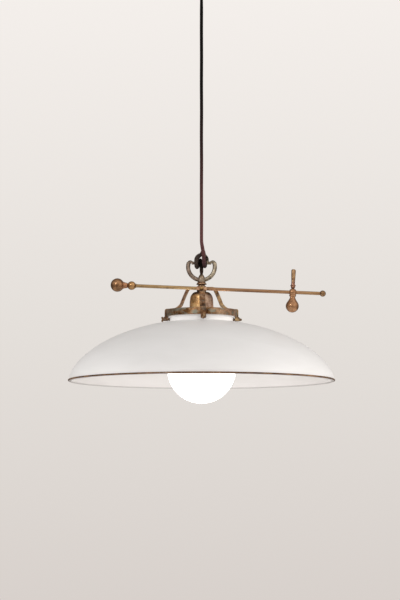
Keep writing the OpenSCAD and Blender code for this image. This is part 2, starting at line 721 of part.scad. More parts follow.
module holder_contact() {
    color("gold") {
        translate([0, 0, contact_z]) cylinder(r = 3.6, h = 0.6);
        translate([0, 0, contact_z + 0.5]) cylinder(r = 1.2, h = insert_top - contact_z + 0.8);
        translate([0, 0, insert_top + face_gap]) cylinder(r = 2.4, h = 1.2);
    }
}

module holder_cores() {
    start = stem_foot + 0.6;
    color("saddlebrown") for (p = [[-8.5, 0], [8.5, 0], [0, 7.6]]) {
        near = 1.8 * unit(p);
        swept_tube(concat(curve([near[0], near[1], start], [0, 0, -7],
            [p[0], p[1], insert_top + 2], [0, 0, -5], 8),
            [[p[0], p[1], insert_top + 2], [p[0], p[1], insert_top - 2]]), core_d, 8);
    }
}

/* Glass */

// The dome's outline between the neck and the rim, moved in by the glass
function dome(inset, steps) = [for (i = [0 : steps])
    let (r0 = neck_r - inset)
    let (a = asin(r0 / (dome_r - inset)))
    let (t = a + (90 - a) * i / steps)
    [(dome_r - inset) * sin(t), rim_z + (dome_h - inset) * pow(cos(t), dome_power)]];

module glass_shade() {
    steps = 26;
    foot = rim_z - thread_h - 0.5;
    outer = dome(0, steps);
    inner = dome(glass_t, steps);
    lip_r = neck_r + lip_w;
    color("white") rotate_extrude($fn = 128) polygon(concat(
        [[neck_r - glass_t, lip_top - 1], [neck_r - glass_t + 1, lip_top]],
        [[lip_r - 1, lip_top], [lip_r, lip_top - 1], [lip_r, lip_foot + 0.6], [lip_r - 0.6, lip_foot]],
        [[neck_r + 0.2, lip_foot], [neck_r, lip_foot - 0.2]],
        [for (p = outer) if (p[0] < dome_r - 0.4) p],
        [[dome_r, rim_z + 0.4], [dome_r, foot + 0.8], [dome_r - 0.8, foot], [dome_r - glass_t + 1, foot],
        [dome_r - glass_t + 0.2, foot + 0.8]],
        [for (i = [steps : -1 : 0]) if (inner[i][0] < dome_r - glass_t - 0.1) inner[i]]));
}

// The thread is laid on the outside of the rim only, so the inside stays white down to its edge
module shade_rim_thread() {
    r = dome_r + face_gap;
    h = thread_h;
    color("sienna") rotate_extrude($fn = 128) polygon(concat([[r, rim_z - h], [r + 0.3, rim_z - h]],
        arc([r + 0.3, rim_z - h / 2], h / 2, -80, 80, 8), [[r + 0.3, rim_z], [r, rim_z]]));
}

/* Thumbscrews, drawn with the axis along x and the pad towards the stem */

module thumbscrew(turn) {
    pad_r = neck_r + seat_gap;
    pad_t = 2.6;
    head = boss_out + 0.25;
    translate([0, 0, screw_z]) rotate([turn, 0, 0]) color("darkgoldenrod") {
        translate([pad_r, 0, 0]) rotate([0, 90, 0]) cylinder(d = pad_d, h = pad_t);
        translate([pad_r + 1, 0, 0]) rotate([0, 90, 0]) cylinder(d = screw_d, h = head - pad_r);
        translate([head, 0, 0]) rotate([0, 90, 0]) rotate_extrude() polygon(
            [[0, 0], [2.9, 0], [3.1, 0.5], [2.6, 1.4], [2.2, 2.4], [1.6, 3.2], [0, 3.4]]);
        for (s = [-1, 1]) translate([head + wing_h * 0.52, s * (wing_w / 2 - wing_h * 0.44), 0])
            difference() {
                cylinder(r = wing_h * 0.44, h = 3.4, center = true);
                for (f = [0, 1]) mirror([0, 0, f]) translate([0.4, s * 0.6, 2.6]) sphere(r = 1.7);
            }
    }
}

module thumbscrew_right() { rotate(arm_turn) thumbscrew(0); }
module thumbscrew_back() { rotate(arm_turn + 90) thumbscrew(60); }
module thumbscrew_left() { rotate(arm_turn + 180) thumbscrew(90); }
module thumbscrew_front() { rotate(arm_turn + 270) thumbscrew(70); }

/* Bulb */

module bulb_globe() {
    tip = 52;
    neck = cap_r + 3.6;
    seam = globe_seam;
    shoulder = globe_r * [cos(tip), sin(tip)];
    outer = concat(arc([0, bulb_z], globe_r, -90, tip, 30),
        curve([shoulder[0], bulb_z + shoulder[1]] + [-0.6, 0.5], [-24, 19], [neck, seam - 7], [-3, 14], 8),
        [[neck, seam - 7], [cap_r + 0.9, seam]]);
    r = globe_r - globe_wall;
    inside = r * [cos(tip), sin(tip)];
    inner = concat([[cap_r - 0.1, seam], [neck - globe_wall, seam - 7.2]],
        curve([neck - globe_wall, seam - 7.4], [3, -14],
            [inside[0] - 0.6, bulb_z + inside[1] + 0.5], [24, -19], 8),
        arc([0, bulb_z], r, tip, -90, 30));
    color("white") rotate_extrude($fn = 96) polygon(concat(outer, inner));
}

module bulb_cap() {
    foot = bulb_cap_top - cap_h;
    wall = 0.5;
    color("silver") difference() {
        rotate_extrude() polygon([[0, foot + 1.4], [cap_r + 0.2, foot + 1.4], [cap_r, foot + 2.4],
            [cap_r, bulb_cap_top - 2], [cap_r - 3, bulb_cap_top], [0, bulb_cap_top]]);
        translate([0, 0, foot]) cylinder(r = cap_r - wall, h = cap_h - 2.6);
        translate([0, 0, foot]) cylinder(r = 5, h = cap_h + 2);
    }
}

module bulb_contact() {
    color("dimgray") rotate_extrude() polygon([[0, bulb_cap_top - 1.4], [4.8, bulb_cap_top - 1.4],
        [4.8, bulb_cap_top + face_gap], [7.6, bulb_cap_top + face_gap], [4.4, bulb_top - 0.9],
        [4, bulb_top - 0.2], [3, bulb_top], [0, bulb_top]]);
}

module bulb_mount() {
    foot = bulb_cap_top - cap_h;
    wire = bulb_z + 8;
    color("gainsboro") {
        translate([0, 0, foot + 3]) cylinder(r1 = 4.5, r2 = cap_r - 1, h = cap_h - 8);
        translate([0, 0, wire]) cylinder(r = 3, h = foot + 3.5 - wire);
        for (a = [0 : 60 : 300]) rotate(a) translate([1.6, 0, wire + 1]) rotate([0, 152, 0])
            cylinder(r = 0.8, h = globe_r * 0.54);
    }
}

/* Balance lever */

module pivot_screw() {
    front = -lever_y - eye_t / 2 - face_gap;
    color("goldenrod") translate([0, front, pivot_z]) rotate([-90, 0, 0]) {
        cylinder(d = pivot_d, h = -front - stem_r - 0.4);
        mirror([0, 0, 1]) difference() {
            rotate_extrude() polygon(concat([[0, 0], [pivot_head_d / 2, 0]],
                arc([pivot_head_d / 2 - 2, 0.3], 2, 0, 90, 5), [[0, 2.3]]));
            translate([-4, -0.45, 1.4]) cube([8, 0.9, 2]);
        }
    }
}

module pivot_washer() {
    color("silver") translate([0, -hub_r - face_gap, pivot_z]) rotate([90, 0, 0]) difference() {
        cylinder(r = 3.4, h = washer_t);
        translate([0, 0, -cut]) cylinder(r = pivot_d / 2 + run_gap, h = washer_t + 2 * cut);
    }
}

module lever_boss() {
    half = eye_l / 2;
    flank = rod_d / 2 + 0.05;
    outline = concat([for (i = [-8 : 8])
        [half * i / 8, flank + (eye_h / 2 - flank) * (1 + cos(180 * i / 8)) / 2]],
        [for (i = [8 : -1 : -8]) [half * i / 8, -flank - (eye_h / 2 - flank) * (1 + cos(180 * i / 8)) / 2]]);
    color("peru") on_lever() difference() {
        rotate([90, 0, 0]) linear_extrude(eye_t, center = true) polygon(outline);
        rotate([90, 0, 0]) cylinder(r = pivot_d / 2 + run_gap, h = eye_t + 2, center = true);
        for (s = [-1, 1]) translate([s * (half - rod_thread), 0, 0]) rotate([0, s * 90, 0])
            cylinder(r = spigot_d / 2 + thread_gap, h = rod_thread + 2);
    }
}

// A rod along x with a threaded spigot at each end, the outer one as long as asked
module rod(from, to, spigot) {
    translate([from, 0, 0]) rotate([0, 90, 0]) rotate_extrude() polygon([[0, 0], [rod_d / 2 - 0.3, 0],
        [rod_d / 2, 0.3], [rod_d / 2, to - from - 0.3], [rod_d / 2 - 0.3, to - from], [0, to - from]]);
    translate([from - rod_thread + 0.6, 0, 0]) rotate([0, 90, 0]) cylinder(d = spigot_d, h = rod_thread);
    translate([to - 0.4, 0, 0]) rotate([0, 90, 0]) cylinder(d = spigot_d, h = spigot + 0.4);
}

module left_rod() {
    color("peru") on_lever() mirror([1, 0, 0]) rod(eye_l / 2 + face_gap, left_rod_l, large_ball_u - left_rod_l);
}

module right_rod() {
    color("peru") on_lever() rod(eye_l / 2 + face_gap, right_rod_l, end_knob_d / 2);
}

module left_collar() {
    color("peru") on_lever() translate([-left_rod_l - face_gap, 0, 0]) rotate([0, -90, 0]) difference() {
        rotate_extrude() polygon(concat([[0, 0], [rod_d / 2 + 0.4, 0]],
            arc([rod_d / 2 + 0.5, left_gap / 2], left_gap / 2, -90, 90, 4), [[0, left_gap]]));
        translate([0, 0, -cut]) cylinder(r = spigot_d / 2 + thread_gap, h = 4);
    }
}

module small_ball() {
    color("peru") on_lever() translate([-small_ball_u, 0, 0]) rotate([0, -90, 0]) difference() {
        intersection() {
            sphere(d = small_ball_d);
            cylinder(r = small_ball_d, h = 2 * small_flat, center = true);
        }
        cylinder(r = spigot_d / 2 + thread_gap, h = small_ball_d + 2, center = true);
    }
}

// The neck is turned in one piece with the large ball
module large_ball() {
    ball = neck_l + large_ball_d / 2;
    color("peru") on_lever() translate([-neck_u, 0, 0]) rotate([0, -90, 0]) difference() {
        union() {
            translate([0, 0, ball]) sphere(d = large_ball_d, $fn = 96);
            rotate_extrude() polygon(concat([[0, 0], [4.4, 0]],
                curve([4.8, 0.4], [-0.6, 4], [7.2, neck_l + 2.4], [3.8, 2.6], 7),
                [[7.2, neck_l + 2.4], [0, neck_l + 2.4]]));
        }
        translate([0, 0, -cut]) cylinder(r = spigot_d / 2 + thread_gap, h = ball + 2);
    }
}

module end_knob() {
    r = end_knob_d / 2;
    flat = 2.6;
    seat = sqrt(r * r - flat * flat);
    color("peru") on_lever() translate([right_rod_l + seat + face_gap, 0, 0]) rotate([0, 90, 0]) difference() {
        sphere(r = r);
        translate([0, 0, -r - seat]) cylinder(r = r, h = r);
        translate([0, 0, -r]) cylinder(r = spigot_d / 2 + thread_gap, h = r + 1.4);
    }
}

/* Sliding weight, drawn about the lever's axis */

module on_slider() {
    on_lever() translate([slider_u, 0, 0]) children();
}

module slider_ball() {
    r = slider_ball_d / 2;
    color("peru") on_slider() difference() {
        sphere(r = r);
        rotate([0, 90, 0]) cylinder(r = rod_d / 2 + run_gap, h = 2 * r + 2, center = true);
        translate([0, 0, rod_d / 2]) cylinder(r = spigot_r + run_gap, h = r);
        translate([0, 0, -r - 1]) cylinder(r = spigot_r + thread_gap, h = r + 0.4 - rod_d / 2);
        translate([0, 0, r - 0.5]) cylinder(r = r, h = 2);
        translate([0, 0, -r - 1.5]) cylinder(r = r, h = 2);
    }
}

module slider_handle() {
    seat = slider_ball_d / 2 - 0.4;
    top_r = handle_d / 2;
    color("peru") on_slider() rotate_extrude() polygon(concat([[0, rod_d / 2 + 0.35],
        [spigot_r, rod_d / 2 + 0.35], [spigot_r, seat], [2.4, seat]],
        curve([2.4, seat + 0.2], [1.4, 0.2], [4, 9.4], [0, 2.4], 5),
        [[4, 9.4], [3.9, 11]], arc([3.7, 12.3], 1.25, -70, 70, 6),
        curve([3.6, 13.8], [-0.7, 2], [top_r - 0.6, 24], [0.7, 4], 6),
        curve([top_r - 0.6, 23], [0.8, 4], [top_r, handle_top - 4], [0, 6], 5),
        arc([top_r - 2.6, handle_top - 2.6], 2.6, 0, 90, 5), [[0, handle_top]]));
}

// The collar at the top of the pear is a shallow cup that holds the ball
module slider_pear() {
    seat = -slider_ball_d / 2 + 0.4;
    cup = slider_ball_d / 2 + face_gap;
    collar_r = 6.2;
    r = pear_d / 2;
    centre = -pear_bottom + r + 0.2;
    shoulder = [r * cos(30), centre + r * sin(30)];
    color("peru") on_slider() union() {
        rotate_extrude() polygon(concat([[0, -rod_d / 2 - 1], [spigot_r, -rod_d / 2 - 1], [spigot_r, seat]],
            arc([0, 0], cup, -asin(-seat / cup), -41, 6), [[collar_r - 0.2, -cup * sin(41)],
            [collar_r, -cup * sin(41) - 0.4]], arc([collar_r - 1.4, seat + 0.4], 1.4, 0, -80, 5),
            curve([4.7, seat - 1.6], [-0.1, -10], shoulder, [6, -9], 9),
            [shoulder, [r * 0.5, centre], [0, centre]]));
        translate([0, 0, centre]) sphere(r = r, $fn = 96);
    }
}

ceiling_bracket();
ceiling_cup();
cup_side_screws();
grip_nipple();
nipple_nuts();
cord_grip();
grip_screw();
terminal_block();
terminal_screws();
ceiling_cores();
cord_in_grip();
cord_bend();
cord_hanging();
cord_knot();
cord_tail();
suspension_ring();
cable_inlet();
ring_collar();
stem_tube();
arm_spider();
gallery_band();
band_rivets();
bell_cup();
bell_nut();
holder_cap();
holder_skirt();
holder_insert();
holder_shell();
holder_contact();
holder_cores();
glass_shade();
shade_rim_thread();
thumbscrew_right();
thumbscrew_back();
thumbscrew_left();
thumbscrew_front();
bulb_globe();
bulb_cap();
bulb_contact();
bulb_mount();
pivot_screw();
pivot_washer();
lever_boss();
left_rod();
right_rod();
left_collar();
small_ball();
large_ball();
end_knob();
slider_ball();
slider_handle();
slider_pear();
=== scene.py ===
import math

import bpy
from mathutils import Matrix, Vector


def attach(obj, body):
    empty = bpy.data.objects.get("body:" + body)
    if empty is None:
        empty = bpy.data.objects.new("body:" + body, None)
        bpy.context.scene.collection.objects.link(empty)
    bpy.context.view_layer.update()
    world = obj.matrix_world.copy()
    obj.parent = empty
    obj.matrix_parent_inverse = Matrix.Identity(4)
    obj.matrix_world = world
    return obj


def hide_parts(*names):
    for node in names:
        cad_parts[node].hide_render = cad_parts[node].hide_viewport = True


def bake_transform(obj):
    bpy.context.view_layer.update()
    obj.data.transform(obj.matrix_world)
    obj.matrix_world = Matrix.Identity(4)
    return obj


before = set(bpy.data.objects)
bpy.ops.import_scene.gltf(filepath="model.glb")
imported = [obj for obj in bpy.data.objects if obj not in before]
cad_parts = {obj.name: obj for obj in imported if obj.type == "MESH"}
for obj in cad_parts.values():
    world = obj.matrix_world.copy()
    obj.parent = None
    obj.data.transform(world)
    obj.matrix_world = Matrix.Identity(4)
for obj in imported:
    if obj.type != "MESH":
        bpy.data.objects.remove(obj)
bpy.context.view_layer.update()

# Camera. It stands 3.6 m in front of the cord and a little below the rim of the shade,
# and looks up slightly, so that the far half of the rim shows under the near half.
eye_distance = 3.6
eye_height = -0.9936
eye_side = -0.00275
look_up = math.radians(5.72)
eye = bpy.data.cameras.new("camera")
eye.lens = 118.14
eye.sensor_width = 36.0
eye.clip_end = 60
camera = bpy.data.objects.new("camera", eye)
camera.location = (eye_side, -eye_distance, eye_height)
camera.rotation_euler = (math.pi / 2 + look_up, 0, 0)
bpy.context.scene.collection.objects.link(camera)
bpy.context.scene.camera = camera


# Textile cord. A round three-core cable in a braided cotton and rayon sleeve, 5.6 mm thick. It leaves
# the grip under the ceiling cup, hangs taut, goes once round the ring's bow in a knot and ends in the
# lampholder. The braid is woven on a machine, so its strands cross at a steady angle. The cord comes
# free 5 mm up inside the grip's mouth.
cord_d = 0.0056
cord_exit_z = -0.059
exit_gap = 0.0006
knot_start_z = -0.5228
bow_axis_z = -0.5488
tail_end_z = -0.6292
cord_nap = 0.0005
knot_swell = 0.0007
inlet_squeeze = 0.0004
strand_mm = 1.5


def linear(colour):
    """The linear value of an sRGB colour written as six hex digits."""
    channels = [int(colour[i:i + 2], 16) / 255 for i in (0, 2, 4)]
    return [c / 12.92 if c <= 0.04045 else ((c + 0.055) / 1.055) ** 2.4 for c in channels] + [1.0]


def node(tree, kind, sockets=None, **settings):
    """Adds a shader node with its settings, its sockets' values and its links."""
    added = tree.nodes.new("ShaderNode" + kind)
    for name, value in settings.items():
        setattr(added, name, value)
    for name, value in (sockets or {}).items():
        if isinstance(value, bpy.types.NodeSocket):
            tree.links.new(value, added.inputs[name])
        else:
            added.inputs[name].default_value = value
    return added


def colour_steps(ramp, steps):
    """Gives a colour ramp its stops, each a place and a hex colour."""
    stops = ramp.color_ramp.elements
    while len(stops) < len(steps):
        stops.new(0.5)
    for stop, (place, colour) in zip(stops, steps):
        stop.position = place
        stop.color = linear(colour)


def new_finish(name):
    """A material with an empty node tree, its principled shader and its output."""
    finish = bpy.data.materials.new(name)
    finish.use_nodes = True
    tree = finish.node_tree
    tree.nodes.clear()
    shader = node(tree, "BsdfPrincipled")
    node(tree, "OutputMaterial", {"Surface": shader.outputs["BSDF"]})
    return finish, tree, shader


def finish_nodes(finish, *names):
    """Gives CAD nodes their finish."""
    for name in names:
        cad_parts[name].data.materials.clear()
        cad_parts[name].data.materials.append(finish)


def carry(path):
    """A frame at each point of a path, carried along it without twisting."""
    frames = []
    side = None
    for i, point in enumerate(path):
        ahead = (path[min(i + 1, len(path) - 1)] - path[max(i - 1, 0)]).normalized()
        if side is None:
            side = ahead.cross(Vector((0, 1, 0))).normalized()
        side = (side - ahead * side.dot(ahead)).normalized()
        frames.append((point, side, ahead.cross(side)))
    return frames


def cord_tube(name, path, thickness, sides=28):
    """A tube along a path. Its UV map counts turns round the cord and diameters along it, and the last
    strip of faces ends at a full turn, so that the braid closes."""
    rings = carry(path)
    points = []
    for i, (point, side, up) in enumerate(rings):
        r = thickness(i / (len(rings) - 1)) / 2
        for k in range(sides):
            turn = 2 * math.pi * k / sides
            points.append(point + side * (r * math.cos(turn)) + up * (r * math.sin(turn)))
    faces = []
    for i in range(len(rings) - 1):
        for k in range(sides):
            a, b = i * sides + k, i * sides + (k + 1) % sides
            faces.append((a, b, b + sides, a + sides))
    mesh = bpy.data.meshes.new(name)
    mesh.from_pydata(points, [], faces)
    travelled = [0.0]
    for a, b in zip(path, path[1:]):
        travelled.append(travelled[-1] + (b - a).length)
    layer = mesh.uv_layers.new(name="turns")
    for face in mesh.polygons:
        for corner, loop in enumerate(face.loop_indices):
            vertex = mesh.loops[loop].vertex_index
            ring, k = divmod(vertex, sides)
            turn = (k if k or corner in (0, 3) else sides) / sides
            layer.data[loop].uv = (turn, travelled[ring] / cord_d)
        face.use_smooth = True
    tube = bpy.data.objects.new(name, mesh)
    bpy.context.scene.collection.objects.link(tube)
    return tube, travelled[-1]


def smooth_path(points, steps):
    """Catmull-Rom points through the given ones."""
    out = []
    for i in range(len(points) - 1):
        p0, p1, p2 = points[max(i - 1, 0)], points[i], points[i + 1]
        p3 = points[min(i + 2, len(points) - 1)]
        for k in range(steps):
            t = k / steps
            out.append(0.5 * (2 * p1 + (p2 - p0) * t + (2 * p0 - 5 * p1 + 4 * p2 - p3) * t * t
                              + (3 * p1 - p0 - 3 * p2 + p3) * t ** 3))
    out.append(points[-1])
    return out


def braided_textile(name, colours_along, reach):
    """Braided sleeve: crossing strands with a soft sheen, drawn about twice as wide as real ones so that
    they show, with painted shade between the strands, in colours that change along the cord. reach
    gives the places of the first and the last colour, in cord diameters."""
    finish, tree, shader = new_finish(name)
    place = node(tree, "TexCoord").outputs
    turns = node(tree, "SeparateXYZ", {0: place["UV"]}).outputs
    strands = math.pi * cord_d * 1000 / strand_mm
    turns_per_d = 1.15
    crossing = []
    for lean in (turns_per_d, -turns_per_d):
        along = node(tree, "Math", {0: turns["Y"], 1: lean}, operation="MULTIPLY").outputs[0]
        both = node(tree, "Math", {0: turns["X"], 1: along}, operation="ADD").outputs[0]
        wave = node(tree, "Math", {0: both, 1: round(strands) * math.pi},
                    operation="MULTIPLY").outputs[0]
        sine = node(tree, "Math", {0: wave}, operation="SINE").outputs[0]
        crossing.append(node(tree, "Math", {0: sine}, operation="ABSOLUTE").outputs[0])
    weave = node(tree, "Math", {0: crossing[0], 1: crossing[1]}, operation="MAXIMUM").outputs[0]
    gap = node(tree, "Math", {0: crossing[0], 1: crossing[1]}, operation="MULTIPLY").outputs[0]
    fibre = node(tree, "TexNoise", {"Vector": place["UV"], "Scale": 26.0, "Detail": 5.0})
    fade = node(tree, "MapRange", {"Value": turns["Y"], "From Min": reach[0], "From Max": reach[1]})
    colour_ramp_along = node(tree, "ValToRGB", {"Fac": fade.outputs[0]})
    colour_steps(colour_ramp_along, colours_along)
    # Painted shade in the gaps between the strands, lighter on their crowns as a painted highlight.
    dark = node(tree, "MapRange", {"Value": gap, "From Min": 0.0, "From Max": 0.8,
                                   "To Min": 0.45, "To Max": 1.15})
    flecks = node(tree, "MapRange", {"Value": fibre.outputs["Fac"], "To Min": 0.75, "To Max": 1.3})
    light = node(tree, "Math", {0: dark.outputs[0], 1: flecks.outputs[0]}, operation="MULTIPLY")
    yarn = node(tree, "VectorMath", {0: colour_ramp_along.outputs["Color"], 1: light.outputs[0]},
                operation="MULTIPLY")
    tree.links.new(yarn.outputs[0], shader.inputs["Base Color"])
    relief = node(tree, "Math", {0: weave, 1: fibre.outputs["Fac"]}, operation="ADD")
    bump = node(tree, "Bump", {"Height": relief.outputs[0], "Strength": 0.55, "Distance": 0.0004})
    tree.links.new(bump.outputs[0], shader.inputs["Normal"])
    shader.inputs["Roughness"].default_value = 0.78
    shader.inputs["Sheen Weight"].default_value = 0.02
    shader.inputs["Specular IOR Level"].default_value = 0.12
    return finish


fall_length = cord_exit_z - knot_start_z
textile = braided_textile("braided_textile_hanging",
                          [(0.0, "060403"), (0.4, "0C0807"), (0.62, "2E1E1C"), (0.8, "523432"),
                           (1.0, "6A4443")], (0, fall_length / cord_d))

# The hanging length has the slight waves that a cord keeps from its reel. More points stand at its
# upper end, where it is rounded.
wave_mm = 0.12
wave_rate = 62
wave_depth_share = 0.4
fall_steps = 180
fall = []
for i in [0, 0.1, 0.3, 0.6] + list(range(1, fall_steps + 1)):
    z = cord_exit_z - exit_gap + (knot_start_z - cord_exit_z + exit_gap) * i / fall_steps
    free = math.sin(math.pi * i / fall_steps) ** 0.5 if 0 < i < fall_steps else 0
    side = wave_mm / 1000 * free * math.sin(z * wave_rate)
    fall.append(Vector((side, wave_depth_share * side, z)))


def fall_thickness(t):
    """A rounded upper end, the bare thickness in and just under the grip, then the fluffed sleeve."""
    rounding = min(0.6 + 25 * t, 1)
    fluff = min(max((t - 0.045) / 0.03, 0), 1)
    return cord_d * rounding + cord_nap * fluff


cord_fall, _ = cord_tube("cord_fall", fall, fall_thickness)
cord_fall.data.materials.append(textile)
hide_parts("cord_bend", "cord_hanging")
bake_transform(cord_fall)

# The knot goes down in front of the bow, up behind it, over, down through the loop and into the inlet.
# Its points, in mm from the bow's axis, follow the photo more closely than the route of the solid cord.
knot_mm = [(0, 0, 26), (0.5, -1.6, 20), (1.3, -5.2, 14.5), (2.1, -8.8, 9), (2.8, -10.6, 4.5),
           (3.3, -11, 0), (3.9, -10.6, -5), (4.3, -9.6, -10.5), (4.5, -8.2, -16), (5, -5.8, -20.4),
           (5.8, -2, -22.2), (6.6, 1.6, -21.2), (7.1, 4.4, -18), (7.1, 6.4, -12), (6.4, 7.4, -6),
           (5, 7.2, 0), (3.8, 5, 4.8), (3.2, 1.4, 6.3), (2.6, -2, 5.4), (1.4, -4.8, 2.8),
           (-0.8, -6.2, -0.8), (-3.8, -6.5, -3.4), (-6.8, -6.5, -6.6), (-8.7, -6.3, -11.5),
           (-9.6, -5.6, -17), (-9.6, -3.2, -21.6), (-8.2, 0.8, -23.6), (-6.3, 4.2, -21),
           (-5.5, 5.6, -17), (-5.2, 5.6, -13.8), (-4.4, 4.7, -11.4), (-2.8, 2.8, -10.3),
           (-1.2, 1, -11.4), (-0.5, 0.2, -13.8), (-0.3, 0, -17.4), (-0.1, 0, -21.5), (0, 0, -27)]
tail_top_mm, tail_foot_mm = -34, (tail_end_z - bow_axis_z) * 1000
tail_steps = 5
knot_steps = 6
knot_mm += [(0, 0, tail_top_mm + (tail_foot_mm - tail_top_mm) * i / tail_steps)
            for i in range(tail_steps + 1)]
knot = smooth_path([Vector((x / 1000, y / 1000, bow_axis_z + z / 1000)) for x, y, z in knot_mm],
                   knot_steps)


def knot_thickness(t):
    """The sleeve swells where the cord turns tightly and is drawn in again before the inlet."""
    swollen = min(t / 0.06, 1)
    drawn_in = min(max((t - 0.875) / 0.01, 0), 1)
    free_d = cord_d + cord_nap + knot_swell * swollen
    return free_d * (1 - drawn_in) + (cord_d - inlet_squeeze) * drawn_in


cord_knot, knot_length = cord_tube("cord_knot_and_tail", knot, knot_thickness)
# Painted light and shade along the knot: red-brown where the cord comes down in front of the bow, near
# black where it lies behind the bow and in the middle of the loop, and a painted grey highlight on the
# left lobe.
knot_colour_reach = 39
knotted = braided_textile("braided_textile_knot",
                          [(0.0, "6A4443"), (0.12, "603E3C"), (0.2, "52383A"), (0.26, "281A18"),
                           (0.42, "241815"), (0.54, "4A3E38"), (0.64, "3E322D"), (0.7, "1C1310"),
                           (0.74, "0A0805"), (0.82, "38261F"), (1.0, "2A1C18")],
                          (0, knot_colour_reach))
cord_knot.data.materials.append(knotted)
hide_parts("cord_knot", "cord_tail")
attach(cord_knot, "head")
finish_nodes(braided_textile("braided_textile_in_grip", [(0.0, "1A130F"), (1.0, "1C1511")], (0, 1)),
             "cord_in_grip")


# Room. Pale plaster walls and a pale floor well below the lamp. Wide soft lights stand right, left, in
# front and low down, and a small one high on the left puts the bright spots on the metal, which mirrors
# a room that is lighter towards the window on its right and behind the viewer.
def room_light(name, place, aim, size, power, colour):
    """A square soft light that faces a point."""
    lamp = bpy.data.lights.new(name, "AREA")
    lamp.shape = "RECTANGLE"
    lamp.size, lamp.size_y = size
    lamp.energy = power
    lamp.color = linear(colour)[:3]
    holder = bpy.data.objects.new(name, lamp)
    holder.location = place
    holder.rotation_euler = (Vector(aim) - Vector(place)).to_track_quat("-Z", "Y").to_euler()
    bpy.context.scene.collection.objects.link(holder)
    return holder


lamp_centre = (0, 0, -0.68)
room_light("key_light", (-1.6, -2.7, 0.6), lamp_centre, (0.6, 0.6), 11, "FFFEFC")
for name, place, size, power, colour in (
        ("side_light_right", (2.7, -0.7, -0.1), (1.6, 1.8), 50, "FFFDFB"),
        ("side_light_left", (-2.7, -0.7, -0.2), (1.4, 1.8), 32, "FFFFFF"),
        ("front_light_right", (2.0, -2.6, 0.2), (1.2, 1.2), 8, "FFFFFF"),
        ("low_light", (0.0, -0.8, -2.2), (3.2, 1.6), 16, "FCFCFF")):
    room_light(name, place, lamp_centre, size, power, colour).visible_glossy = False

world = bpy.data.worlds.new("room")
bpy.context.scene.world = world
world.use_nodes = True
room = world.node_tree
room.nodes.clear()
direction = node(room, "TexCoord").outputs["Generated"]
rise = node(room, "SeparateXYZ", {0: direction}).outputs["Z"]
view_foot, view_top = -0.052, 0.249
spread = node(room, "MapRange", {"Value": rise, "From Min": view_foot, "From Max": view_top})
wall_colour = node(room, "ValToRGB", {"Fac": spread.outputs[0]})
colour_steps(wall_colour, [(0.0, "D8D1CC"), (0.45, "E4DFDA"), (1.0, "F4EFEB")])
seen = node(room, "Background", {"Color": wall_colour.outputs["Color"], "Strength": 1.0})
lit = node(room, "Background", {"Color": linear("F4F2F0"), "Strength": 0.6})
ray = node(room, "LightPath").outputs
straight = node(room, "Math", {0: ray["Is Camera Ray"], 1: ray["Is Transmission Ray"]},
                operation="MAXIMUM")
around = node(room, "SeparateXYZ", {0: direction}).outputs
tall = node(room, "MapRange", {"Value": rise, "From Min": -1.0, "From Max": 1.0})
shine_colour = node(room, "ValToRGB", {"Fac": tall.outputs[0]})
colour_steps(shine_colour, [(0.0, "8E847C"), (0.42, "A2988F"), (0.58, "C6BDB4"), (1.0, "DCD5CE")])
window_side = node(room, "MapRange", {"Value": around["X"], "From Min": -0.6, "From Max": 0.8,
                                      "To Min": 0.92, "To Max": 1.35})
far_side = node(room, "MapRange", {"Value": around["Y"], "From Min": -0.35, "From Max": 0.45,
                                   "To Min": 1.2, "To Max": 0.42})
shine = node(room, "Math", {0: window_side.outputs[0], 1: far_side.outputs[0]}, operation="MULTIPLY")
mirror = node(room, "Background", {"Color": shine_colour.outputs["Color"],
                                   "Strength": shine.outputs[0]})
diffuse = node(room, "MixShader", {0: straight.outputs[0], 1: lit.outputs[0], 2: seen.outputs[0]})
mixed = node(room, "MixShader", {0: ray["Is Glossy Ray"], 1: diffuse.outputs[0], 2: mirror.outputs[0]})
node(room, "OutputWorld", {"Surface": mixed.outputs[0]})

floor_mesh = bpy.data.meshes.new("floor")
half, floor_z = 3.0, -2.3
floor_mesh.from_pydata([(-half, -half, floor_z), (half, -half, floor_z),
                        (half, half, floor_z), (-half, half, floor_z)], [], [(0, 1, 2, 3)])
floor = bpy.data.objects.new("floor", floor_mesh)
bpy.context.scene.collection.objects.link(floor)
plaster, tree, shader = new_finish("pale_floor")
shader.inputs["Base Color"].default_value = linear("E2DDD8")
shader.inputs["Roughness"].default_value = 0.9
floor.data.materials.append(plaster)
bpy.context.scene.view_settings.view_transform = "Standard"


# Ceiling set. A spun brass cup over a zinc-plated steel bracket, a turned brass cord grip on a steel
# nipple, and a white polyamide terminal block. It hangs outside the photograph's view.
speck_mm = 1.1
scratch_mm = 0.7
worn_edge = 0.0006
corner_depth = 0.004
boundary_wander = 0.004
hairline_mm = 0.5


